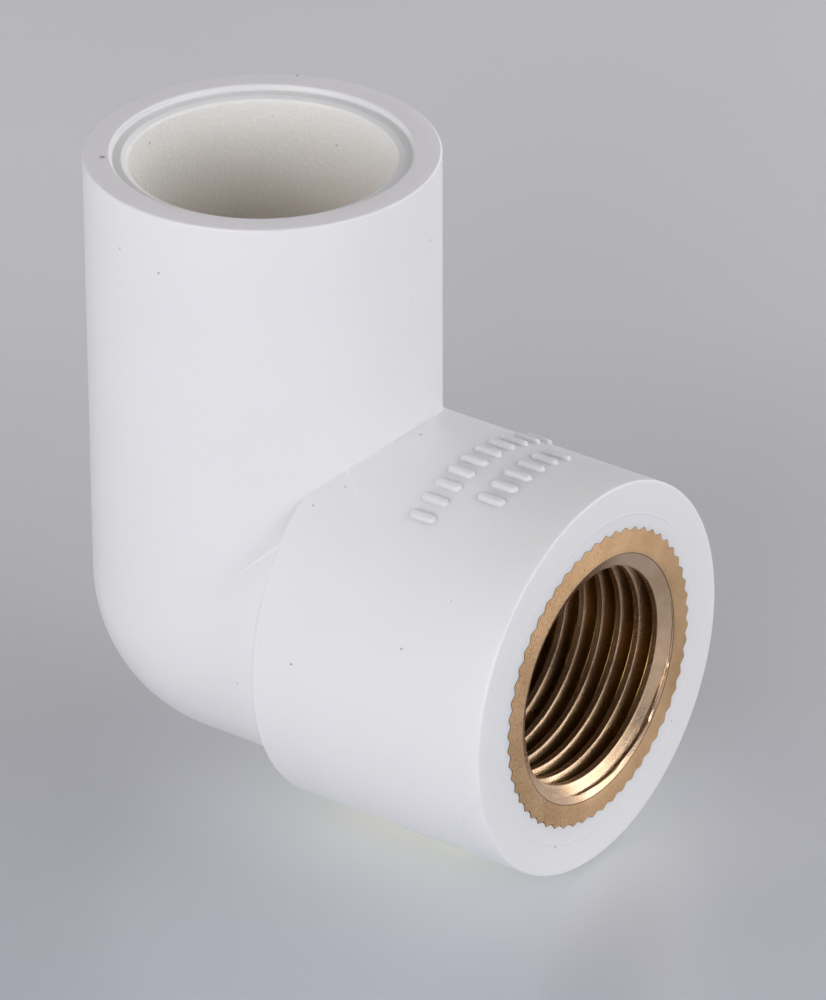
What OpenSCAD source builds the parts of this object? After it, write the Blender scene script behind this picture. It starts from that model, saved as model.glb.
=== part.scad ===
// Elbow fitting for rigid pipe. One leg is a plain solvent socket, the other carries a
// toothed brass insert with a parallel female pipe thread, moulded into a thick collar.
// Frame: the two bore axes cross at the origin. The socket opens along +Z, the thread along +X.

/* [Moulded body] */
// Outside diameter of both legs and of the ball-shaped bend
leg_d = 28.8; // [24:0.1:40]
// Height of the socket rim above the crossing of the axes
rim_height = 37.6; // [30:0.1:60]
// Outside diameter of the collar round the brass insert
collar_d = 33.2; // [28:0.1:50]
// Distance from the socket axis to the back shoulder of the collar
collar_start = 10.6; // [6:0.1:20]
// Distance from the socket axis to the front face of the collar
face_reach = 33.2; // [26:0.1:50]
// Edge radius on the socket rim
rim_round = 0.2; // [0.1:0.1:1.5]
// Edge radius on the front of the collar
collar_round = 0.2; // [0.1:0.1:1.5]
// Edge radius on the back shoulder of the collar
shoulder_round = 0.5; // [0.1:0.1:1.5]
// Radial width of the fine witness ring on the front face
witness_w = 0.25; // [0.1:0.05:0.8]
// Diameter of the fine witness ring on the front face
witness_d = 27.7; // [24:0.1:32]
// Height of the witness ring above the front face
witness_h = 0.04; // [0.02:0.01:0.3]

/* [Solvent socket] */
// Diameter of the shallow recess inside the rim
recess_d = 24.3; // [22:0.1:27]
// Depth of the shallow recess
recess_depth = 0.5; // [0.2:0.1:2]
// Outer diameter of the lead-in chamfer on the recess floor
lead_d = 22.62; // [21:0.02:26]
// Depth of the lead-in chamfer
lead_depth = 0.27; // [0.1:0.01:2]
// Diameter of the parallel part of the socket
socket_d = 21.56; // [20:0.02:28]
// Diameter at the bottom of the tapered pipe seat
seat_d = 21.24; // [19:0.02:28]
// Length of the tapered pipe seat
seat_length = 5.0; // [1:0.1:12]
// Depth of the socket from the recess floor to the pipe stop
socket_depth = 22.3; // [15:0.1:40]
// Diameter of the waterway through the bend
waterway_d = 15.8; // [10:0.1:20]

/* [Brass insert] */
// Length of the insert along its axis
insert_length = 17.0; // [12:0.1:30]
// Diameter over the tips of the anti-turn teeth
tooth_tip_d = 25.4; // [22:0.1:32]
// Diameter at the roots of the teeth
tooth_root_d = 24.6; // [21:0.1:31]
// Number of teeth round the insert
tooth_count = 56; // [24:1:90]
// Length of the front toothed band
front_band = 4.2; // [2:0.1:8]
// Width of each locking groove that the plastic fills
lock_w = 1.4; // [0.6:0.1:4]
// Diameter of the floor of each locking groove
lock_d = 22.8; // [22:0.1:28]
// Diameter of the plain lands
land_d = 24.3; // [21:0.1:31]
// Width of each plain land that carries a sealing ring
land_w = 3.4; // [2.4:0.1:6]
// Length of the rear toothed band
rear_band = 3.2; // [1:0.1:8]

/* [Pipe thread] */
// Thread pitch
pitch = 1.814; // [1:0.001:3]
// Diameter across the crests of the female thread
thread_minor_d = 18.631; // [12:0.001:30]
// Diameter across the roots of the female thread
thread_major_d = 20.955; // [13:0.001:32]
// Included angle of the thread form
thread_angle = 55; // [30:1:60]
// Number of thread crests
crest_count = 9; // [3:1:14]
// Diameter of the countersunk mouth at the face
mouth_d = 21.0; // [19:0.1:26]
// Included angle of the countersink that leads into the thread
mouth_angle = 118; // [60:1:150]

/* [Sealing rings] */
// Thickness of the ring cord
cord_d = 1.4; // [0.8:0.1:3]
// Width of the groove that holds each ring
ring_groove_w = 1.6; // [1:0.1:3]
// Diameter of the floor of each ring groove
ring_groove_d = 22.4; // [21.5:0.1:26]

/* [Raised marks] */
// Height of the plain marks above the collar
mark_h = 0.35; // [0.1:0.05:1]
// Width of each mark
mark_w = 0.8; // [0.3:0.1:3]
// Length of each mark along the collar
mark_length = 2.5; // [1:0.1:8]
// Spacing of neighbouring marks round the collar, in degrees
mark_step = 6.3; // [4:0.1:20]
// Number of marks in the row nearer the bend
long_row = 10; // [0:1:16]
// Number of marks in the row nearer the face
short_row = 6; // [0:1:16]
// Distance from the socket axis to the middle of the longer row
long_row_x = 21.6; // [12:0.1:32]
// Distance from the socket axis to the middle of the shorter row
short_row_x = 25.8; // [12:0.1:32]
// Number of marks in each of the two rows under the collar, which the fitting stands on
under_row = 9; // [0:1:16]
// Distance from the socket axis to the middle of the first row under the collar
under_row_x = 15.3; // [12:0.1:32]
// Distance between the two rows under the collar
under_row_gap = 4.3; // [3:0.1:12]

/* [Hidden] */
$fn = 96;
arc_steps = 5;
// How far a cutting or joining shape runs past the surface it meets
cut = 1;
// Difference in radius where two equal round surfaces would otherwise touch along a line
seam = 0.002;
leg_r = leg_d / 2;
collar_r = collar_d / 2;
recess_z = rim_height - recess_depth;
lead_z = recess_z - lead_depth;
stop_z = recess_z - socket_depth;
insert_back = face_reach - insert_length;
land_r = land_d / 2;
minor_r = thread_minor_d / 2;
major_r = thread_major_d / 2;
flank = (major_r - minor_r) * tan(thread_angle / 2);
flat = pitch / 2 - flank;
first_crest = (mouth_d / 2 - minor_r) / tan(mouth_angle / 2) + flat / 2;
lock_front = front_band;
front_land = lock_front + lock_w;
lock_rear = front_land + land_w;
rear_teeth = lock_rear + lock_w;
rear_land = rear_teeth + rear_band;
front_ring = front_land + land_w / 2;
rear_ring = rear_land + (insert_length - rear_land) / 2;
ring_r = (ring_groove_d + cord_d) / 2;

// Names of the separate physical pieces
// Piece to draw, or all of them together

// Points on an arc, from one angle to another
function arc(centre, radius, from, to) =
    [for (i = [0:arc_steps])
        let (a = from + (to - from) * i / arc_steps)
        centre + radius * [cos(a), sin(a)]];

// Zigzag outline of the toothed band, two points to a tooth
function tooth_points() =
    [for (i = [0:2 * tooth_count - 1])
        let (a = 180 * i / tooth_count)
        (i % 2 == 0 ? tooth_tip_d : tooth_root_d) / 2 * [cos(a), sin(a)]];

// One crest and the following root of the thread, as radius against depth from the face
function thread_turn(i) =
    let (s = first_crest + i * pitch)
    [[minor_r, s - flat / 2],
     [minor_r, s + flat / 2],
     [major_r, s + flat / 2 + flank],
     [major_r, s + pitch - flat / 2 - flank]];

// Places children at the face with their +Z pointing into the fitting
module from_face() {
    translate([face_reach, 0, 0])
        rotate([0, -90, 0])
            children();
}

// Right half of the drawing plane, which a profile is trimmed to before it is turned
module right_half(reach) {
    translate([0, -reach])
        square([reach, 2 * reach]);
}

// Upright leg with a rounded rim, closed at the bottom by the ball-shaped bend
module socket_leg() {
    rotate_extrude()
        intersection() {
            union() {
                circle(r = leg_r);
                polygon(concat(
                    [[0, 0], [leg_r, 0]],
                    arc([leg_r - rim_round, rim_height - rim_round], rim_round, 0, 90),
                    [[0, rim_height]]));
            }
            right_half(rim_height + cut);
        }
}

// Short level leg between the bend and the collar
module level_leg() {
    rotate([0, 90, 0])
        cylinder(r = leg_r - seam, h = collar_start + cut);
}

// Thick collar round the insert, rounded at both ends
module collar() {
    from_face()
        rotate_extrude()
            polygon(concat(
                [[0, 0]],
                arc([collar_r - collar_round, collar_round], collar_round, -90, 0),
                arc([collar_r - shoulder_round, face_reach - collar_start - shoulder_round],
                    shoulder_round, 0, 90),
                [[0, face_reach - collar_start]]));
}

// Fine raised ring left on the front face by the mould
module witness_ring() {
    from_face()
        translate([0, 0, -witness_h])
            difference() {
                cylinder(d = witness_d + witness_w, h = witness_h + cut);
                translate([0, 0, -cut])
                    cylinder(d = witness_d - witness_w, h = witness_h + 3 * cut);
            }
}

// One plain raised mark with round ends, on top of the collar
module mark() {
    straight = mark_length - mark_w;
    translate([0, 0, collar_r - cut])
        linear_extrude(height = mark_h + cut) {
            square([straight, mark_w], center = true);
            for (end = [-1, 1])
                translate([end * straight / 2, 0])
                    circle(d = mark_w, $fn = 24);
        }
}

// A row of marks centred on the top of the collar
module mark_row(count) {
    for (i = [0:1:count - 1])
        rotate([(i - (count - 1) / 2) * mark_step, 0, 0])
            mark();
}

// Everything cut away for the pipe: recess, lead-in, socket, tapered seat and waterway
module pipe_space() {
    rotate_extrude()
        intersection() {
            union() {
                circle(d = waterway_d);
                polygon([
                    [0, 0],
                    [waterway_d / 2, 0],
                    [waterway_d / 2, stop_z],
                    [seat_d / 2, stop_z],
                    [socket_d / 2, stop_z + seat_length],
                    [socket_d / 2, lead_z],
                    [lead_d / 2, recess_z],
                    [recess_d / 2, recess_z],
                    [recess_d / 2, rim_height + cut],
                    [0, rim_height + cut]]);
            }
            right_half(rim_height + 2 * cut);
        }
    rotate([0, 90, 0])
        cylinder(r = waterway_d / 2 - seam, h = insert_back + cut);
}

// One toothed band, from one depth to another
module toothed_band(start, length) {
    translate([0, 0, start])
        linear_extrude(height = length)
            polygon(tooth_points());
}

// Solid outer form of the insert before boring and before the ring grooves
module insert_blank() {
    toothed_band(0, front_band);
    cylinder(d = lock_d, h = insert_length);
    translate([0, 0, front_land])
        cylinder(d = land_d, h = land_w);
    toothed_band(rear_teeth, rear_band);
    translate([0, 0, rear_land])
        cylinder(d = land_d, h = insert_length - rear_land);
}

// Bore of the insert: countersunk mouth, ring-shaped thread grooves and a plain tail
module thread_space() {
    rotate_extrude()
        polygon(concat(
            [[0, -cut], [mouth_d / 2, -cut], [mouth_d / 2, 0]],
            [for (i = [0:crest_count - 2]) each thread_turn(i)],
            [[minor_r, first_crest + (crest_count - 1) * pitch - flat / 2],
             [minor_r, insert_length + cut],
             [0, insert_length + cut]]));
}

// Square groove that holds one sealing ring
module ring_groove(depth) {
    translate([0, 0, depth - ring_groove_w / 2])
        difference() {
            cylinder(r = land_r + cut, h = ring_groove_w);
            translate([0, 0, -cut])
                cylinder(d = ring_groove_d, h = ring_groove_w + 2 * cut);
        }
}

// Round-section sealing ring at a given depth from the face
module seal_ring(depth) {
    from_face()
        translate([0, 0, depth])
            rotate_extrude()
                translate([ring_r, 0])
                    circle(d = cord_d, $fn = 32);
}

module elbow_body() {
    color("white")
        difference() {
            union() {
                socket_leg();
                level_leg();
                collar();
                witness_ring();
                translate([long_row_x, 0, 0])
                    mark_row(long_row);
                translate([short_row_x, 0, 0])
                    mark_row(short_row);
                for (gap = [0, under_row_gap])
                    translate([under_row_x + gap, 0, 0])
                        mirror([0, 0, 1])
                            mark_row(under_row);
            }
            pipe_space();
            from_face()
                insert_blank();
            seal_ring(front_ring);
            seal_ring(rear_ring);
        }
}

module brass_insert() {
    color("goldenrod")
        from_face()
            difference() {
                insert_blank();
                thread_space();
                ring_groove(front_ring);
                ring_groove(rear_ring);
            }
}

module seal_ring_front() {
    color("dimgray")
        seal_ring(front_ring);
}

module seal_ring_rear() {
    color("dimgray")
        seal_ring(rear_ring);
}

elbow_body();
brass_insert();
seal_ring_front();
seal_ring_rear();
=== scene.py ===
"""Looks for the elbow fitting: one white plastic moulding with a threaded brass insert."""
import math

import bmesh
import bpy
import numpy as np
from mathutils import Matrix, Vector


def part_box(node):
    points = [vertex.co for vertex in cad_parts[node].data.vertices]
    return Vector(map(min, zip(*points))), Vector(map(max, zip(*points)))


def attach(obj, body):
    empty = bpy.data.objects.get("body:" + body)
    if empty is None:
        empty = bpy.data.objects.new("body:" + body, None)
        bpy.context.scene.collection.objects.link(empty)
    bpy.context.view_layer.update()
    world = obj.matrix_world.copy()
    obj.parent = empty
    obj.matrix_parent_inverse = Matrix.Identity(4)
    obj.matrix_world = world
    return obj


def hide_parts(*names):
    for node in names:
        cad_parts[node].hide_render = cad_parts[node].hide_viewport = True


MM = 0.001
TAU = 2 * math.pi

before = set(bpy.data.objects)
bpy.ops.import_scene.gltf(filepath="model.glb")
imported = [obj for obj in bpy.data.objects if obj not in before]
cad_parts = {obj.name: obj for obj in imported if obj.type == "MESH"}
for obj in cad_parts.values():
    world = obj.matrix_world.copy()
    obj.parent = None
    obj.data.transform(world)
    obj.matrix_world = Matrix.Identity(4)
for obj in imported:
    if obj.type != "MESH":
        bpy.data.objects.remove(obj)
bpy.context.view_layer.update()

# ---- sizes in millimetres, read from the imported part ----
body_low, body_high = (np.array(c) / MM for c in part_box("elbow_body"))
insert_low, insert_high = (np.array(c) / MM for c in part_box("brass_insert"))
LEG_R = -body_low[0]
COLLAR_R = body_high[1]
RIM_Z = body_high[2]
FACE_X = insert_high[0]
INSERT_BACK = insert_low[0]
FLOOR_Z = body_low[2]

# ---- sizes the boxes can't give ----
COLLAR_START = 10.6
# Rounds and fillets of the moulding
RIM_ROUND = 0.2
COLLAR_ROUND = 0.2
SHOULDER_ROUND = 0.5
LEG_FILLET = 0.12
CREASE_FILLET = 0.24
SHOULDER_FILLET = 0.3
# Socket: recess under the rim, lead-in, bore, pipe seat and pipe stop
RECESS_R, RECESS_DEPTH = 12.15, 0.5
LEAD_R, LEAD_DEPTH = 11.31, 0.27
SOCKET_R = 10.78
SEAT_R, SEAT_LENGTH = 10.62, 5.0
STOP_Z = 14.8
WATERWAY_R = 7.9
# Fine ring moulded on the collar face
WITNESS_R, WITNESS_HALF, WITNESS_H = 13.85, 0.13, 0.035
# Brass insert: lands, teeth, lift of its face, the teeth's shift off the axis, grooves
LAND_R = 12.33
TIP_R = 12.68
PROUD = 0.05
TOOTH_SHIFT = 0.11
TEETH = 56
LOCK_R = 11.4
RING_GROOVE_R = 11.2
# Thread: half-inch parallel pipe thread
PITCH = 1.814
MINOR_R = 9.3155
MAJOR_R = 10.4775
MOUTH_R = 10.58

# Points round each turned ring
RING = 320
# Where the turned skins meet the meshed bend, and how fine its mesh is
LEG_JOIN, COLLAR_JOIN, WATERWAY_JOIN = 19.0, 16.9, 12.2
BEND_STEP, WATERWAY_STEP = 0.25, 0.4


# ---- mesh helpers: points in millimetres, normals as unit vectors ----
class Shell:
    """Collects points, normals and faces, then becomes one mesh object."""

    def __init__(self):
        self.points, self.normals, self.faces, self.kinds = [], [], [], []
        self.size = 0

    def add(self, points, normals):
        first = self.size
        self.points.append(np.asarray(points, float))
        self.normals.append(np.asarray(normals, float))
        self.size += len(points)
        return first

    def join(self, faces, kind=0):
        self.faces += faces
        self.kinds += [kind] * len(faces)

    def build(self, name, materials, use_normals=True):
        mesh = bpy.data.meshes.new(name)
        points = np.concatenate(self.points) * MM
        mesh.from_pydata(points.tolist(), [], self.faces)
        mesh.polygons.foreach_set("material_index", self.kinds)
        for material in materials:
            mesh.materials.append(material)
        bm = bmesh.new()
        bm.from_mesh(mesh)
        bmesh.ops.recalc_face_normals(bm, faces=bm.faces)
        bm.to_mesh(mesh)
        bm.free()
        mesh.shade_smooth()
        if use_normals:
            normals = np.concatenate(self.normals)
            mesh.normals_split_custom_set_from_vertices(normals.tolist())
        piece = bpy.data.objects.new(name, mesh)
        bpy.context.scene.collection.objects.link(piece)
        return piece


def rounded_profile(corners, steps=5):
    """Corners are (r, s, radius). Returns points and right-hand normals along the rounded path."""
    xy = np.array([c[:2] for c in corners], float)
    way = np.diff(xy, axis=0)
    way /= np.linalg.norm(way, axis=1)[:, None]
    side = np.stack([way[:, 1], -way[:, 0]], 1)
    points, normals = [xy[0]], [side[0]]
    for i in range(1, len(xy) - 1):
        t0, t1, n0 = way[i - 1], way[i], side[i - 1]
        turn = math.atan2(t0[0] * t1[1] - t0[1] * t1[0], float(t0 @ t1))
        radius = corners[i][2]
        sign = 1 if turn > 0 else -1
        start = xy[i] - t0 * radius * math.tan(abs(turn) / 2)
        centre = start - n0 * radius * sign
        for k in range(steps + 1):
            a = turn * k / steps
            c, s = math.cos(a), math.sin(a)
            n = np.array([n0[0] * c - n0[1] * s, n0[0] * s + n0[1] * c])
            points.append(centre + n * radius * sign)
            normals.append(n)
    points.append(xy[-1])
    normals.append(side[-1])
    return np.array(points), np.array(normals)


def turned(shell, points, normals, axis, kinds):
    """Revolves a profile about Z or X. kinds(r, s) gives each band's material.
    Returns the first and last rings."""
    angle = np.arange(RING) / RING * TAU
    c, s = np.cos(angle), np.sin(angle)
    rings = []
    for (r, h), (nr, nh) in zip(points, normals):
        flat = np.full(RING, h), np.full(RING, nh)
        if axis == "Z":
            ring = np.stack([r * c, r * s, flat[0]], 1)
            normal = np.stack([nr * c, nr * s, flat[1]], 1)
        else:
            ring = np.stack([flat[0], r * c, r * s], 1)
            normal = np.stack([flat[1], nr * c, nr * s], 1)
        rings.append(shell.add(ring, normal))
    for k in range(len(rings) - 1):
        a, b = rings[k], rings[k + 1]
        middle = (points[k] + points[k + 1]) / 2
        band = [(a + i, a + (i + 1) % RING, b + (i + 1) % RING, b + i) for i in range(RING)]
        shell.join(band, kinds(*middle))
    return rings[0], rings[-1]


def ring_angles(first):
    return [first + i for i in range(RING)], np.arange(RING) / RING * TAU


def zip_loops(shell, ids_a, angles_a, ids_b, angles_b, kind=0):
    """Joins two loops round the same axis with triangles, by angle."""
    a = [ids_a[i] for i in np.argsort(angles_a)]
    b = [ids_b[i] for i in np.argsort(angles_b)]
    at_a, at_b = np.sort(angles_a), np.sort(angles_b)
    na, nb = len(a), len(b)
    i = j = 0
    faces = []
    while i < na or j < nb:
        next_a = at_a[(i + 1) % na] + (TAU if i + 1 >= na else 0) if i < na else math.inf
        next_b = at_b[(j + 1) % nb] + (TAU if j + 1 >= nb else 0) if j < nb else math.inf
        if next_a <= next_b:
            faces.append((a[i % na], a[(i + 1) % na], b[j % nb]))
            i += 1
        else:
            faces.append((a[i % na], b[(j + 1) % nb], b[j % nb]))
            j += 1
    shell.join(faces, kind)


# ---- smooth shapes as distance fields, in millimetres ----
def round_union(a, b, radius):
    """Union of two distances with a fillet of the given radius."""
    fill = np.hypot(np.maximum(radius - a, 0), np.maximum(radius - b, 0))
    return np.maximum(radius, np.minimum(a, b)) - fill


def capped(across, along, edge):
    """Distance to a cylinder end: across and along are distances past its wall and its cap."""
    a, b = across + edge, along + edge
    return np.minimum(np.maximum(a, b), 0) + np.hypot(np.maximum(a, 0), np.maximum(b, 0)) - edge


def outer_field(x, y, z):
    """Outside of the moulding: upright leg, ball bend, level leg and collar with small fillets."""
    ball = np.sqrt(x * x + y * y + z * z)
    upright = np.where(z > 0, np.hypot(x, y), ball)
    level = np.where(x > 0, np.hypot(y, z), ball)
    round_x = np.hypot(y, z)
    d_leg = upright - LEG_R
    d_level = level - LEG_R
    front = x > (COLLAR_START + FACE_X) / 2
    d_front = capped(round_x - COLLAR_R, x - FACE_X, COLLAR_ROUND)
    d_back = capped(round_x - COLLAR_R, COLLAR_START - x, SHOULDER_ROUND)
    d_collar = np.where(front, d_front, d_back)
    below, behind = np.where(z > 0, 0, z), np.where(x > 0, 0, x)
    safe = np.maximum(upright * level, 1e-6)
    bend = 1 - (x * behind + y * y + below * z) / safe
    turn = 1 - y * y / np.maximum(np.hypot(x, y) * round_x, 1e-6)
    d = round_union(d_leg, d_level, CREASE_FILLET * bend)
    d = np.minimum(d, round_union(d_leg, d_collar, LEG_FILLET * turn))
    return np.minimum(d, round_union(d_level, d_collar, SHOULDER_FILLET))


def waterway_field(x, y, z):
    """Waterway through the bend: two round passages that meet in a ball."""
    ball = np.sqrt(x * x + y * y + z * z)
    upright = np.where(z > 0, np.hypot(x, y), ball)
    level = np.where(x > 0, np.hypot(y, z), ball)
    return np.minimum(upright, level) - WATERWAY_R


def field_normals(field, p):
    step = 0.01
    out = np.empty_like(p)
    for k in range(3):
        ahead, back = p.copy(), p.copy()
        ahead[:, k] += step
        back[:, k] -= step
        out[:, k] = field(*ahead.T) - field(*back.T)
    return out / np.maximum(np.linalg.norm(out, axis=1), 1e-9)[:, None]


def surface_net(field, low, high, step):
    """Quads over the zero surface of a field inside a box, one point to a crossed cell."""
    axes = [np.arange(a, b + step / 2, step) for a, b in zip(low, high)]
    v = field(*np.meshgrid(*axes, indexing="ij"))
    shape = np.array(v.shape) - 1
    total = np.zeros(tuple(shape) + (3,))
    count = np.zeros(tuple(shape))
    for axis in range(3):
        others = [k for k in range(3) if k != axis]
        for corner in ((0, 0), (0, 1), (1, 0), (1, 1)):
            start = [0, 0, 0]
            start[others[0]], start[others[1]] = corner
            end = list(start)
            end[axis] = 1
            v0 = v[tuple(slice(a, a + n) for a, n in zip(start, shape))]
            v1 = v[tuple(slice(a, a + n) for a, n in zip(end, shape))]
            hit = (v0 < 0) != (v1 < 0)
            part = np.where(hit, v0 / np.where(hit, v0 - v1, 1), 0)
            total[..., axis] += part
            for k, a in zip(others, corner):
                total[..., k] += hit * a
            count += hit
    cells = np.argwhere(count > 0)
    index = -np.ones(tuple(shape), int)
    index[tuple(cells.T)] = np.arange(len(cells))
    mean = total[tuple(cells.T)] / count[tuple(cells.T)][:, None]
    points = np.array(low, float) + (cells + mean) * step
    faces = []
    for axis in range(3):
        u, w = [k for k in range(3) if k != axis]
        core = [slice(1, -1)] * 3
        core[axis] = slice(0, -1)
        ahead = list(core)
        ahead[axis] = slice(1, None)
        hit = np.argwhere((v[tuple(core)] < 0) != (v[tuple(ahead)] < 0))
        node = hit + np.array([0 if k == axis else 1 for k in range(3)])
        quad = []
        for du, dw in ((-1, -1), (0, -1), (0, 0), (-1, 0)):
            cell = node.copy()
            cell[:, u] += du
            cell[:, w] += dw
            quad.append(index[tuple(cell.T)])
        faces += [tuple(int(i) for i in row) for row in np.stack(quad, 1)]
    for _ in range(8):
        d = np.clip(field(*points.T), -step / 2, step / 2)
        points -= field_normals(field, points) * d[:, None]
    return points, faces, cells, shape


def bend_patch(shell, field, radius_z, radius_x, low, high, step, kind):
    """Adds the part of a bend that isn't a plain turned shape.
    Returns its upper and front open loops."""
    points, faces, cells, shape = surface_net(field, low, high, step)
    top = cells[:, 2] == shape[2] - 1
    front = cells[:, 0] == shape[0] - 1
    points[top, 2] = high[2] - step / 2
    points[top, :2] *= (radius_z / np.hypot(*points[top, :2].T))[:, None]
    points[front, 0] = high[0] - step / 2
    points[front, 1:] *= (radius_x / np.hypot(*points[front, 1:].T))[:, None]
    first = shell.add(points, field_normals(field, points))
    shell.join([tuple(first + i for i in f) for f in faces], kind)
    upper = np.flatnonzero(top)
    fore = np.flatnonzero(front)
    upper_angle = np.arctan2(points[upper, 1], points[upper, 0]) % TAU
    fore_angle = np.arctan2(points[fore, 2], points[fore, 1]) % TAU
    return (first + upper).tolist(), upper_angle, (first + fore).tolist(), fore_angle


# ---- materials ----
def node_material(name):
    material = bpy.data.materials.new(name)
    material.use_nodes = True
    tree = material.node_tree
    return material, tree, tree.nodes["Principled BSDF"]


def add_node(tree, kind, inputs=None, **settings):
    node = tree.nodes.new(kind)
    for key, value in settings.items():
        setattr(node, key, value)
    for key, value in (inputs or {}).items():
        link(tree, value, node.inputs[key])
    return node


def ramp(tree, fac, stops):
    node = add_node(tree, "ShaderNodeValToRGB", {"Fac": fac})
    elements = node.color_ramp.elements
    while len(elements) < len(stops):
        elements.new(0.5)
    for element, (at, colour) in zip(elements, stops):
        element.position = at
        element.color = (*colour, 1)
    return node.outputs["Color"]


def noise(tree, place, scale, detail=3.0, rough=0.5):
    inputs = {"Vector": place, "Scale": scale, "Detail": detail, "Roughness": rough}
    return add_node(tree, "ShaderNodeTexNoise", inputs).outputs["Fac"]


def span(tree, value, low, high, to_low=0.0, to_high=1.0):
    """Carries value from the range low..high to another range, held at its ends."""
    inputs = {"Value": value, "From Min": low, "From Max": high, "To Min": to_low, "To Max": to_high}
    return add_node(tree, "ShaderNodeMapRange", inputs).outputs["Result"]


def link(tree, value, socket):
    """Feeds a socket from another socket or a plain value."""
    if isinstance(value, bpy.types.NodeSocket):
        tree.links.new(value, socket)
    else:
        socket.default_value = value


def blend(tree, fac, a, b, mode="MIX"):
    """Mixes two colours."""
    node = add_node(tree, "ShaderNodeMix", data_type="RGBA", blend_type=mode)
    for name, kind, value in (("Factor", "VALUE", fac), ("A", "RGBA", a), ("B", "RGBA", b)):
        link(tree, value, [s for s in node.inputs if s.name == name and s.type == kind][0])
    return [s for s in node.outputs if s.type == "RGBA"][0]


def arithmetic(tree, operation, a, b):
    node = tree.nodes.new("ShaderNodeMath")
    node.operation = operation
    for socket, value in zip(node.inputs, (a, b)):
        link(tree, value, socket)
    return node.outputs[0]


def times(tree, a, b):
    return arithmetic(tree, "MULTIPLY", a, b)


def plus(tree, a, b):
    return arithmetic(tree, "ADD", a, b)


def vector_math(tree, operation, a, b):
    node = add_node(tree, "ShaderNodeVectorMath", {0: a, 1: b}, operation=operation)
    return node.outputs["Value" if operation in ("DISTANCE", "DOT_PRODUCT") else "Vector"]


def axes(tree, place):
    """The X, Y and Z of a place."""
    return add_node(tree, "ShaderNodeSeparateXYZ", {"Vector": place}).outputs


def vector(tree, x, y, z):
    return add_node(tree, "ShaderNodeCombineXYZ", {"X": x, "Y": y, "Z": z}).outputs[0]


def object_place(tree):
    return tree.nodes.new("ShaderNodeTexCoord").outputs["Object"]


def bumped(tree, shader, height, strength, distance):
    bump = add_node(tree, "ShaderNodeBump",
                    {"Strength": strength, "Distance": distance, "Height": height})
    tree.links.new(bump.outputs["Normal"], shader.inputs["Normal"])


# Specks of dust lying on the moulding: place and radius in millimetres
DUST = [(14.72, -16.36, 2.83, 0.12), (24.65, -15.08, 6.94, 0.13), (15.50, 0.12, 16.60, 0.16),
        (10.50, -13.41, 9.62, 0.17), (13.72, -7.65, 14.73, 0.11), (12.08, -9.76, 13.43, 0.09),
        (27.55, -12.42, 11.02, 0.08), (7.60, -14.21, -2.35, 0.09), (-9.57, -8.49, 37.60, 0.26),
        (0.57, -14.39, 32.67, 0.12), (-3.66, -13.93, 33.38, 0.10), (-6.06, 12.74, 37.60, 0.16),
        (33.20, -5.94, -12.76, 0.13), (33.20, 10.50, -8.88, 0.10), (33.20, -14.66, 5.96, 0.10),
        (13.91, 3.73, 32.07, 0.14), (13.51, 4.98, 34.81, 0.10), (-10.74, -0.90, 35.45, 0.14),
        (-0.62, 10.76, 33.62, 0.10), (30.91, -15.34, -6.33, 0.09)]
# How far the specks' outlines are pushed about, in metres, and the mean of that push in millimetres
DUST_WOBBLE, DUST_SHIFT = 0.0003, 0.15
DUST_COLOUR, DUST_STRENGTH = (0.12, 0.1, 0.08, 1), 0.62


def dust_mask(tree, place):
    """White where one of the listed specks lies."""
    wobble = add_node(tree, "ShaderNodeTexNoise", {"Vector": place, "Scale": 5000.0, "Detail": 1.0})
    push = vector_math(tree, "MULTIPLY", wobble.outputs["Color"], (DUST_WOBBLE,) * 3)
    moved = vector_math(tree, "ADD", place, push)
    total = 0.0
    for x, y, z, r in DUST:
        spot = tuple((c + DUST_SHIFT) * MM for c in (x, y, z))
        gap = vector_math(tree, "DISTANCE", moved, spot)
        speck = span(tree, gap, 0.6 * r * MM, 1.1 * r * MM, 1.0, 0.0)
        total = arithmetic(tree, "MAXIMUM", total, speck)
    return total


# Faint mould line on the collar beside the marks, from one end to the other
SEAM = (Vector((12.5, -6.0, 15.48)), Vector((17.9, -9.75, 13.44)))
SEAM_COLOUR, SEAM_STRENGTH = (0.96, 0.96, 0.965, 1), 0.5


def seam_mask(tree, place):
    """White along the mould line, strongest where it leaves the leg."""
    start, end = SEAM
    ahead = (end - start).normalized()
    across = ahead.cross(Vector((0, start.y + end.y, start.z + end.z))).normalized()
    away = vector_math(tree, "SUBTRACT", place, tuple(start * MM))
    side = vector_math(tree, "DOT_PRODUCT", away, tuple(across))
    along = vector_math(tree, "DOT_PRODUCT", away, tuple(ahead))
    top = start.z
    on_collar = span(tree, axes(tree, place)["Z"], (top + 0.02) * MM, (top + 0.12) * MM, 1.0, 0.0)
    line = span(tree, arithmetic(tree, "ABSOLUTE", side, 0.0), 0.02 * MM, 0.11 * MM, 1.0, 0.0)
    fade = span(tree, along, 0.0, (end - start).length * MM, 1.0, 0.0)
    line = times(tree, times(tree, line, fade), on_collar)
    return times(tree, line, span(tree, along, -0.1 * MM, 0.0))


# Heights between which the painted shade deep in a plastic's socket fades out
DEEP_SHADE_FROM, DEEP_SHADE_TO = 25.0, 36.0


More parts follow.
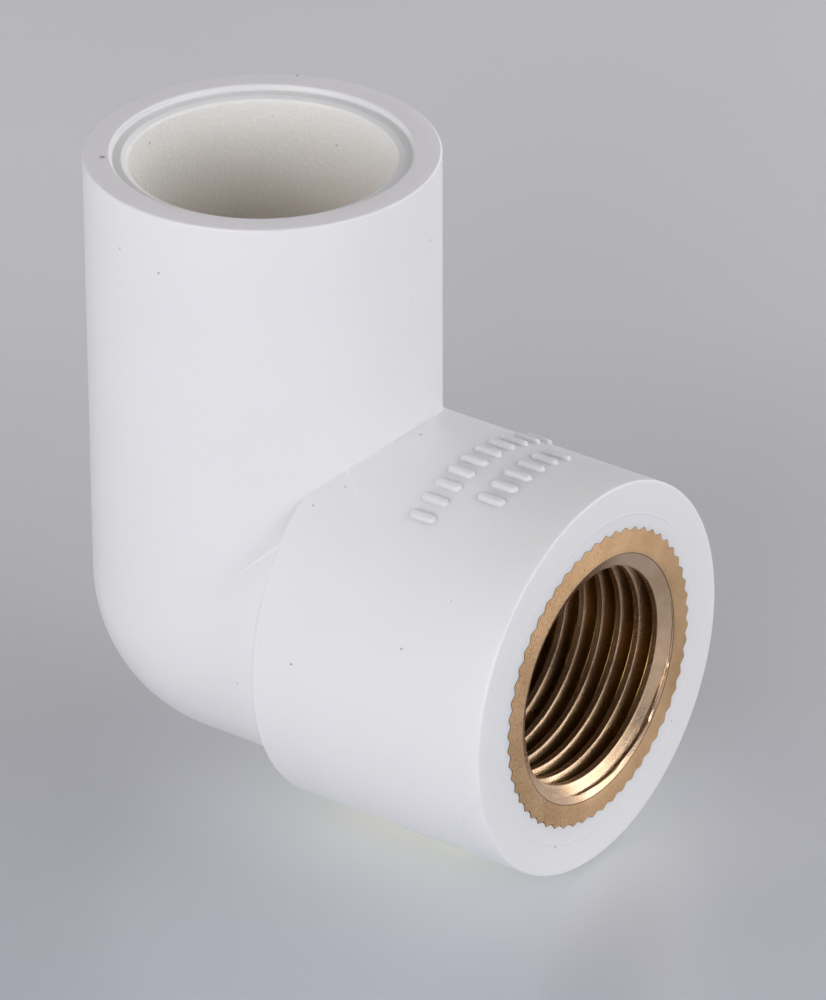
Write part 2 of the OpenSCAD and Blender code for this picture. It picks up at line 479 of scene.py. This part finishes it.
def plastic(name, pale, shade, grain_scale, grain, gloss, deep_shade=(1.0, 1.0, 1.0)):
    """White moulded plastic: flow clouds, fine grain, specks of dust, light passing under the skin.
    The deep tint is painted shade on the surface well below the socket rim, darker and warmer further
    down."""
    material, tree, shader = node_material(name)
    place = object_place(tree)
    clouds = noise(tree, place, 90.0, 4.0)
    colour = ramp(tree, clouds, [(0.1, shade), (0.9, pale)])
    # Painted shade: darker and warmer further down the socket
    drop = span(tree, axes(tree, place)["Z"], DEEP_SHADE_FROM * MM, DEEP_SHADE_TO * MM)
    tint = ramp(tree, drop, [(0.0, deep_shade), (1.0, (1.0, 1.0, 1.0))])
    colour = blend(tree, 1.0, colour, tint, "MULTIPLY")
    seam = seam_mask(tree, place)
    colour = blend(tree, times(tree, seam, SEAM_STRENGTH), colour, SEAM_COLOUR)
    dirt = dust_mask(tree, place)
    colour = blend(tree, times(tree, dirt, DUST_STRENGTH), colour, DUST_COLOUR)
    tree.links.new(span(tree, dirt, 0.0, 1.0, 0.35, 0.0), shader.inputs["Subsurface Weight"])
    tree.links.new(colour, shader.inputs["Base Color"])
    fine = noise(tree, place, grain_scale, 2.0)
    tree.links.new(span(tree, fine, 0.0, 1.0, gloss - 0.05, gloss + 0.05), shader.inputs["Roughness"])
    wave = noise(tree, place, 140.0, 2.0)
    height = plus(tree, times(tree, fine, grain), times(tree, wave, 0.25))
    height = plus(tree, height, times(tree, seam, 1.2))
    bumped(tree, shader, height, 0.25, 0.0001)
    shader.inputs["IOR"].default_value = 1.5
    shader.inputs["Subsurface Radius"].default_value = (1.0, 0.9, 0.75)
    shader.inputs["Subsurface Scale"].default_value = 0.0018
    return material


# Glow of the brushed face round its turn: waves in a turn, angle of the brightest place, amount
GLOW_WAVES = ((1, 105, 0.14), (2, 100, 0.15))
# Ticks left by the thread tool in one turn
TICKS = 290.0


def brushed_glow(tree, turn):
    """Bow-tie of light that a turned face shows, as a grey level round the face."""
    level = 1.0
    for waves, brightest, amount in GLOW_WAVES:
        phase = times(tree, arithmetic(tree, "SUBTRACT", turn, math.radians(brightest)), waves)
        level = plus(tree, level, times(tree, arithmetic(tree, "COSINE", phase, 0.0), amount))
    return vector(tree, level, level, level)


def darker(colour, share):
    return tuple(share * c for c in colour) + (1,)


def brass(name, bright, dull, gloss, pits, chatter=0.0):
    """Turned brass: rings left by the tool, small pits and a warm tarnish in patches.
    Chatter is how dark the tool's ticks are on the crests; the flat face has none, and has a brushed
    glow and painted shade on its edges instead."""
    material, tree, shader = node_material(name)
    place = object_place(tree)
    x, y, z = axes(tree, place)
    squares = plus(tree, arithmetic(tree, "POWER", y, 2.0), arithmetic(tree, "POWER", z, 2.0))
    radius = arithmetic(tree, "SQRT", squares, 0.0)
    turn = arithmetic(tree, "ARCTAN2", z, y)
    rings = noise(tree, vector(tree, x, radius, 0.0), 5200.0, 3.0, 0.7)
    patches = noise(tree, place, 260.0, 5.0, 0.6)
    colour = ramp(tree, patches, [(0.3, dull), (0.68, bright)])
    grit = noise(tree, place, 5600.0, 2.0, 0.6)
    worn = span(tree, arithmetic(tree, "DIVIDE", y, radius), 0.3, -0.6, 0.25, 1.0)
    pit = times(tree, span(tree, grit, 0.34, 0.46, pits, 0.0), worn)
    colour = blend(tree, pit, colour, darker(dull, 0.25))
    height = plus(tree, times(tree, rings, 0.6), times(tree, grit, 0.6))
    if chatter:
        colour, ticks = thread_shade_and_ticks(tree, place, (x, radius, turn), colour, patches, dull, chatter)
        height = arithmetic(tree, "SUBTRACT", height, times(tree, ticks, 1.5))
    else:
        colour = blend(tree, 1.0, colour, brushed_glow(tree, turn), "MULTIPLY")
        front = FACE_X + PROUD
        # Painted shade on the side walls of the proud face and its teeth
        edge = span(tree, x, (front - 0.012) * MM, (front - 0.002) * MM, 0.75, 0.0)
        colour = blend(tree, edge, colour, (0.10, 0.06, 0.03, 1))
    tree.links.new(colour, shader.inputs["Base Color"])
    shader.inputs["Metallic"].default_value = 1.0 if chatter else 0.7
    tree.links.new(span(tree, patches, 0.3, 0.7, gloss + 0.1, gloss - 0.05), shader.inputs["Roughness"])
    bumped(tree, shader, height, 0.35, 0.00006)
    return material


def thread_shade_and_ticks(tree, place, polar, colour, patches, dull, chatter):
    """Painted shade, olive brown, in the valleys of the thread from about a millimetre in, and the
    tool's ticks on its crests.
    """
    x, radius, turn = polar
    valley = span(tree, radius, (MINOR_R + 0.1) * MM, (MAJOR_R - 0.4) * MM)
    inside = span(tree, x, (FACE_X - 1.3) * MM, (FACE_X - 0.8) * MM, 1.0, 0.0)
    # Painted shade in the thread's valleys, fading out towards the mouth
    colour = blend(tree, times(tree, valley, inside), colour, (0.58, 0.54, 0.3, 1), "MULTIPLY")
    warp = times(tree, noise(tree, place, 900.0, 2.0), 6.0)
    wave = arithmetic(tree, "SINE", plus(tree, times(tree, turn, TICKS), warp), 0.0)
    crest = span(tree, radius, (MINOR_R + 0.02) * MM, (MINOR_R + 0.08) * MM, 1.0, 0.0)
    ticks = times(tree, span(tree, wave, 0.2, 0.9), crest)
    ticks = times(tree, ticks, span(tree, patches, 0.35, 0.6, 0.3, 1.0))
    return blend(tree, times(tree, ticks, chatter), colour, darker(dull, 0.2)), ticks


def rubber(name):
    """Black rubber with a little dust."""
    material, tree, shader = node_material(name)
    dust = noise(tree, object_place(tree), 900.0, 4.0)
    colour = ramp(tree, dust, [(0.35, (0.018, 0.018, 0.02)), (0.75, (0.05, 0.05, 0.05))])
    tree.links.new(colour, shader.inputs["Base Color"])
    tree.links.new(span(tree, dust, 0.3, 0.7, 0.55, 0.75), shader.inputs["Roughness"])
    bumped(tree, shader, dust, 0.3, 0.0001)
    return material


pvc_skin = plastic("pvc_skin", (0.845, 0.84, 0.862), (0.815, 0.81, 0.832), 2600.0, 0.25, 0.3)
# Painted light: a paler, lavender copy of the skin for the rim's top flat
pvc_rim_lit = plastic("pvc_rim_lit", (0.895, 0.865, 0.915), (0.87, 0.84, 0.89), 2600.0, 0.25, 0.3)
# The bore's paler colour is painted light, standing in for light through the thin wall; its deep tint
# is painted shade; its coarse grain is its own
pvc_bore = plastic("pvc_bore", (0.92, 0.91, 0.90), (0.90, 0.89, 0.875), 3000.0, 6.0, 0.42,
                   deep_shade=(1.0, 0.95, 0.89))
brass_face = brass("brass_face", (0.78, 0.505, 0.275), (0.60, 0.37, 0.19), 0.42, 0.6)
brass_thread = brass("brass_thread", (0.80, 0.575, 0.40), (0.60, 0.415, 0.265), 0.22, 0.1, 0.5)
seal_rubber = rubber("seal_rubber")

# ---- the moulding ----
# Places of its three materials, and the radii inside which a wall counts as bore or insert pocket
SKIN, BORE, RIM = 0, 1, 2
BORE_BELOW_R, POCKET_BELOW_R = 11.0, 12.0
shell = Shell()
upper, upper_angle, fore, fore_angle = bend_patch(
    shell, outer_field, LEG_R, COLLAR_R, (-15.0, -17.125, -17.125), (16.75, 17.125, 18.875),
    BEND_STEP, SKIN)
inner_up, inner_up_angle, inner_fore, inner_fore_angle = bend_patch(
    shell, waterway_field, WATERWAY_R, WATERWAY_R, (-8.4, -8.4, -8.4), (12.0, 8.4, 12.0),
    WATERWAY_STEP, BORE)

leg_points, leg_normals = rounded_profile([
    (LEG_R, LEG_JOIN, 0),
    (LEG_R, RIM_Z, RIM_ROUND),
    (RECESS_R, RIM_Z, 0.22),
    (RECESS_R, RIM_Z - RECESS_DEPTH, 0.2),
    (LEAD_R, RIM_Z - RECESS_DEPTH, 0.2),
    (SOCKET_R, RIM_Z - RECESS_DEPTH - LEAD_DEPTH, 0.3),
    (SOCKET_R, STOP_Z + SEAT_LENGTH, 0.3),
    (SEAT_R, STOP_Z, 0.25),
    (WATERWAY_R, STOP_Z, 0.4),
    (WATERWAY_R, WATERWAY_JOIN, 0)])


def leg_material(r, s):
    """Bore, rim or skin of the upright leg, by radius and height."""
    if r < BORE_BELOW_R:
        return BORE
    # The rim's top flat takes the paler copy of the skin, which is painted light
    return RIM if s > RIM_Z - 0.02 and r > RECESS_R else SKIN


def collar_material(r, s):
    return BORE if r < POCKET_BELOW_R else SKIN


first, last = turned(shell, leg_points, leg_normals, "Z", leg_material)
zip_loops(shell, upper, upper_angle, *ring_angles(first))
zip_loops(shell, inner_up, inner_up_angle, *ring_angles(last), kind=BORE)

collar_points, collar_normals = rounded_profile([
    (COLLAR_R, COLLAR_JOIN, 0),
    (COLLAR_R, FACE_X, COLLAR_ROUND),
    (WITNESS_R + WITNESS_HALF, FACE_X, 0.06),
    (WITNESS_R, FACE_X + WITNESS_H, 0.06),
    (WITNESS_R - WITNESS_HALF, FACE_X, 0.06),
    (LAND_R, FACE_X, 0.05),
    (LAND_R, INSERT_BACK, 0.05),
    (WATERWAY_R, INSERT_BACK, 0.2),
    (WATERWAY_R, WATERWAY_JOIN, 0)])
first, last = turned(shell, collar_points, collar_normals, "X", collar_material)
zip_loops(shell, fore, fore_angle, *ring_angles(first))
zip_loops(shell, inner_fore, inner_fore_angle, *ring_angles(last), kind=BORE)
body = shell.build("moulded_body", [pvc_skin, pvc_bore, pvc_rim_lit])
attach(body, "root")
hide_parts("elbow_body")

# ---- raised marks: plain bars with round ends, blended into the collar ----
MARK_LENGTH, MARK_W, MARK_H, MARK_STEP = 2.5, 0.8, 0.33, math.radians(6.3)
# Growth of a bar's outline and its height above the collar, from its foot to its top
SKIRT = [(0.1, -0.03), (0.05, 0.02), (0.0, 0.1), (-0.06, 0.22), (-0.13, 0.3), (-0.22, MARK_H),
         (-0.3, MARK_H + 0.01)]
# Rows of bars: place along the collar, number of bars, whether on top of the collar or under it
MARK_ROWS = ((21.6, 10, True), (25.8, 6, True), (15.3, 9, False), (19.6, 9, False))


def stadium(width, length, steps=10):
    r, half = width / 2, (length - width) / 2
    out = []
    for end, start in ((1, -90), (-1, 90)):
        for k in range(steps + 1):
            a = math.radians(start + 180 * k / steps)
            out.append((end * half + r * math.cos(a), r * math.sin(a)))
    return np.array(out)


def add_mark(shell, x, turn):
    rings = []
    for grow, height in SKIRT:
        outline = stadium(MARK_W + 2 * grow, MARK_LENGTH + 2 * grow)
        a = turn + outline[:, 1] / COLLAR_R
        r = COLLAR_R + height
        points = np.stack([x + outline[:, 0], -r * np.sin(a), r * np.cos(a)], 1)
        rings.append(shell.add(points, points * 0))
    n = len(outline)
    for a, b in zip(rings, rings[1:]):
        shell.join([(a + i, a + (i + 1) % n, b + (i + 1) % n, b + i) for i in range(n)])
    shell.join([tuple(range(rings[-1], rings[-1] + n)), tuple(reversed(range(rings[0], rings[0] + n)))])


marks = Shell()
for x, count, top in MARK_ROWS:
    for i in range(count):
        turn = (i - (count - 1) / 2) * MARK_STEP
        add_mark(marks, x, turn if top else turn + math.pi)
marks_piece = marks.build("raised_marks", [pvc_skin], use_normals=False)
marks_piece.data.set_sharp_from_angle(angle=math.radians(60))
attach(marks_piece, "root")

# ---- the brass insert ----
# Places of its two materials
FACE, THREAD = 0, 1
COLUMNS = TEETH * 6


def tooth_radius(angle):
    """Softened zigzag of the anti-turn teeth."""
    phase = (angle / TAU * TEETH) % 1
    wave = 1 - np.abs(2 * phase - 1)
    soft = 0.5 - 0.5 * np.cos(np.pi * wave)
    return LAND_R + (TIP_R - LAND_R) * (0.5 * wave + 0.5 * soft) + TOOTH_SHIFT * np.sin(angle)


# Thread form: half the flat of a crest, half the angle between flanks, rounds
CREST_HALF = 0.245
HALF_ANGLE = math.radians(27.5)
ROOT_ROUND, CREST_ROUND = 0.09, 0.04
# Depth of the first crest at its place round the bore, in turns
FIRST_CREST = 1.16 / PITCH - 34 / 360
# Countersink: mouth radius and slope
CONE_R = 10.50
CONE_SLOPE = math.tan(math.radians(63))
THREAD_END, RUN_OUT = 15.4, 0.8
# Edges sharper than this stay sharp
SHARP_ANGLE = math.radians(32)


def thread_profile():
    """Offset from a crest's middle and radius, over half a pitch: flat crest, flank, rounded root."""
    foot = CREST_HALF + (MAJOR_R - MINOR_R) * math.tan(HALF_ANGLE)
    corners = [(0.0, MINOR_R, 0), (CREST_HALF, MINOR_R, CREST_ROUND),
               (foot, MAJOR_R, ROOT_ROUND), (PITCH - foot, MAJOR_R, ROOT_ROUND),
               (PITCH - CREST_HALF, MINOR_R, CREST_ROUND), (PITCH, MINOR_R, 0)]
    points, _ = rounded_profile(corners, steps=4)
    return points[:, 0] / PITCH, points[:, 1]


KNOTS, KNOT_R = thread_profile()


def bore_radius(angle, depth):
    """Radius of the threaded bore: right-hand helix, opened by a wide countersink at the mouth."""
    v = (depth / PITCH + angle / TAU - FIRST_CREST) % 1
    thread = np.interp(v, KNOTS, KNOT_R)
    run_out = np.clip((THREAD_END - depth) / RUN_OUT, 0, 1)
    thread = MINOR_R + (thread - MINOR_R) * run_out
    cone = CONE_R - depth * CONE_SLOPE
    return np.maximum(thread, cone)


insert_length = FACE_X - INSERT_BACK
angles = np.linspace(0, TAU, COLUMNS + 1)
teeth = tooth_radius(angles)
flat = np.ones(COLUMNS + 1)
rows = []


def row(radius, depth, kind):
    rows.append((radius * flat, depth * flat, kind))


# Outside of the insert, from its back end to its mouth: radius, depth behind the collar face
TEETH_BACK, TEETH_FRONT = 10.4, 4.2
ROWS = [(LOCK_R, insert_length), (LAND_R, insert_length - 0.1),
        (LAND_R, 16.1), (RING_GROOVE_R, 16.1), (RING_GROOVE_R, 14.5), (LAND_R, 14.5),
        (LAND_R, 13.65), (teeth, 13.6), (teeth, TEETH_BACK),
        (LOCK_R, TEETH_BACK), (LOCK_R, 9.0), (LAND_R, 9.0),
        (LAND_R, 8.1), (RING_GROOVE_R, 8.1), (RING_GROOVE_R, 6.5), (LAND_R, 6.5),
        (LAND_R, 5.6), (LOCK_R, 5.6), (LOCK_R, TEETH_FRONT), (teeth, TEETH_FRONT),
        (teeth, 0.05), (teeth, 0.0), (teeth - 0.05, -PROUD), (teeth - 0.12, -PROUD),
        (11.2, -PROUD), (MOUTH_R + 0.05, -PROUD), (MOUTH_R, -PROUD + 0.02)]
row(MINOR_R, insert_length, THREAD)
for radius, depth in ROWS:
    row(radius, depth, FACE)
row(CONE_R + 0.02, -0.01, THREAD)


def thread_steps(fine):
    """Places of the rows within one pitch, measured from a crest's middle."""
    steps = [KNOTS[0]]
    for a, b in zip(KNOTS, KNOTS[1:]):
        n = max(1, math.ceil((b - a) / fine))
        steps += list(np.linspace(a, b, n + 1)[1:])
    return np.array(steps[:-1])


for turn in range(-1, int(THREAD_END / PITCH) + 2):
    for step in thread_steps(0.04 if turn < 1 else 0.12 if turn < 6 else 0.3):
        depth = (turn + step + FIRST_CREST) * PITCH - angles / TAU * PITCH
        depth = np.clip(depth, 0.0, THREAD_END)
        rows.append((bore_radius(angles, depth), depth, THREAD))
row(MINOR_R, THREAD_END + 0.02, THREAD)

insert = Shell()
firsts = []
for radius, depth, kind in rows:
    points = np.stack([FACE_X - depth, radius * np.cos(angles), radius * np.sin(angles)], 1)
    firsts.append(insert.add(points, points * 0))
for k in range(len(rows)):
    a, b = firsts[k], firsts[(k + 1) % len(rows)]
    insert.join([(a + i, a + i + 1, b + i + 1, b + i) for i in range(COLUMNS)], rows[k][2])
insert_piece = insert.build("threaded_insert", [brass_face, brass_thread], use_normals=False)
bm = bmesh.new()
bm.from_mesh(insert_piece.data)
bmesh.ops.remove_doubles(bm, verts=bm.verts, dist=2e-6)
bmesh.ops.dissolve_degenerate(bm, dist=1e-7, edges=bm.edges)
bmesh.ops.recalc_face_normals(bm, faces=bm.faces)
bm.to_mesh(insert_piece.data)
bm.free()
insert_piece.data.shade_smooth()
insert_piece.data.set_sharp_from_angle(angle=SHARP_ANGLE)
insert_piece.modifiers.new("weighted", "WEIGHTED_NORMAL").keep_sharp = True
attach(insert_piece, "root")
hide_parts("brass_insert")

# ---- the sealing rings stay as the CAD made them, with a rubber finish ----
for name in ("seal_ring_front", "seal_ring_rear"):
    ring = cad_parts[name]
    ring.data.materials.clear()
    ring.data.materials.append(seal_rubber)


# ---- floor, light and camera ----
# The table glows a little all over, and more in a pool along the collar's line of contact: that pool is
# painted reflection and bounce light from the white collar
FLOOR_GLOW = 0.14
REFLECTION_POOL, REFLECTION_REACH, REFLECTION_GLOW = (17.0, 20.5), 30.0, 0.20
# The camera: direction, tilt, the point it looks at, its distance and focal length in millimetres
AZIMUTH, ELEVATION, ROLL = 36.178, 28.674, -0.183
AIM = Vector((8.237, 8.988, 4.375)) * MM
DISTANCE = 605.6 * MM
LENS = 264.77


def toward(azimuth, elevation):
    a, e = math.radians(azimuth), math.radians(elevation)
    return Vector((math.sin(a) * math.cos(e), -math.cos(a) * math.cos(e), math.sin(e)))


# Painted shade of the table along the view, from near (darker) to far (lighter)
PAINTED_FLOOR_SHADE = [(0.0, (0.77, 0.795, 0.835)), (0.28, (0.81, 0.815, 0.815)), (0.385, (0.85, 0.85, 0.85)),
        (0.6, (0.91, 0.91, 0.91)), (0.71, (0.965, 0.96, 0.96)), (0.95, (1.0, 1.0, 1.0))]
NEAR, FAR = -40.0, 120.0
FLOOR_TINTS = [(0.3, (0.53, 0.526, 0.578)), (0.7, (0.584, 0.58, 0.632))]
FLOOR_HALF = 3.0


def floor_material():
    material, tree, shader = node_material("studio_floor")
    place = object_place(tree)
    away = toward(AZIMUTH + 180, 0)
    middle = away.dot(AIM)
    reach = vector_math(tree, "DOT_PRODUCT", place, tuple(away))
    # Painted shade along the view, on the table's colour and on its glow
    fade = ramp(tree, span(tree, reach, middle + NEAR * MM, middle + FAR * MM), PAINTED_FLOOR_SHADE)
    colour = ramp(tree, noise(tree, place, 9.0, 2.0), FLOOR_TINTS)
    tree.links.new(blend(tree, 1.0, colour, fade, "MULTIPLY"), shader.inputs["Base Color"])
    shader.inputs["Roughness"].default_value = 0.3
    shader.inputs["IOR"].default_value = 1.5
    limits = {"Value": axes(tree, place)["X"], "Min": REFLECTION_POOL[0] * MM, "Max": REFLECTION_POOL[1] * MM}
    nearest = add_node(tree, "ShaderNodeClamp", limits).outputs[0]
    gap = vector_math(tree, "DISTANCE", place, vector(tree, nearest, 0.0, FLOOR_Z * MM))
    reflection_pool = arithmetic(tree, "POWER", span(tree, gap, 3 * MM, REFLECTION_REACH * MM, 1.0, 0.0), 2.0)
    glow_and_reflection = plus(tree, times(tree, reflection_pool, REFLECTION_GLOW), FLOOR_GLOW)
    # Towards the collar the painted reflection turns the glow pale greenish yellow
    tree.links.new(blend(tree, reflection_pool, fade, (0.98, 1.0, 0.78, 1)), shader.inputs["Emission Color"])
    tree.links.new(glow_and_reflection, shader.inputs["Emission Strength"])
    return material


floor_mesh = bpy.data.meshes.new("floor")
sheet = bmesh.new()
corners = [(FLOOR_HALF * a, FLOOR_HALF * b) for a, b in ((-1, -1), (1, -1), (1, 1), (-1, 1))]
sheet.faces.new([sheet.verts.new((x, y, FLOOR_Z * MM)) for x, y in corners])
sheet.to_mesh(floor_mesh)
sheet.free()
floor_mesh.materials.append(floor_material())
floor = bpy.data.objects.new("floor", floor_mesh)
bpy.context.scene.collection.objects.link(floor)


def look(direction, roll=0.0):
    """Rotation that looks back along a direction, with Z up."""
    back = direction.normalized()
    right = Vector((0, 0, 1)).cross(back).normalized()
    up = back.cross(right)
    r = math.radians(roll)
    turned_right = right * math.cos(r) + up * math.sin(r)
    turned_up = up * math.cos(r) - right * math.sin(r)
    return Matrix((turned_right, turned_up, back)).transposed().to_4x4()


camera = bpy.data.objects.new("camera", bpy.data.cameras.new("camera"))
bpy.context.scene.collection.objects.link(camera)
camera.data.lens = LENS
camera.data.sensor_width = 36.0
camera.data.clip_start, camera.data.clip_end = 0.05, 20.0
back = toward(AZIMUTH, ELEVATION)
camera.matrix_world = Matrix.Translation(AIM + back * DISTANCE) @ look(back, ROLL)
bpy.context.scene.camera = camera


def softbox(name, azimuth, elevation, width, height, watts):
    lamp = bpy.data.lights.new(name, "AREA")
    lamp.shape, lamp.size, lamp.size_y = "RECTANGLE", width, height
    lamp.energy = watts
    box = bpy.data.objects.new(name, lamp)
    bpy.context.scene.collection.objects.link(box)
    direction = toward(azimuth, elevation)
    box.matrix_world = Matrix.Translation(direction * LAMP_DISTANCE) @ look(direction)


# Soft lights: direction round the part and above the table in degrees, size in metres, power
LAMP_DISTANCE = 1.0
LIGHTS = [("front", 5, 12, 0.9, 0.8, 8.8),
          ("right_high", 130, 45, 0.9, 0.8, 2.0),
          ("back", 180, 20, 0.9, 0.8, 3.29),
          ("right", 88, 22, 0.9, 0.45, 3.05),
          ("left", -75, 12, 0.9, 0.8, 2.2),
          ("right_back", 132, 12, 0.55, 0.5, 2.0),
          ("left_high", -35, 45, 0.9, 0.8, 0.9),
          ("left_back", -130, 20, 0.9, 0.8, 0.54),
          ("front_high", 45, 45, 0.9, 0.8, 0.2)]
for light in LIGHTS:
    softbox(*light)

world = bpy.data.worlds.new("studio")
bpy.context.scene.world = world
world.use_nodes = True
world.node_tree.nodes["Background"].inputs["Strength"].default_value = 0.0
bpy.context.scene.view_settings.view_transform = "Standard"
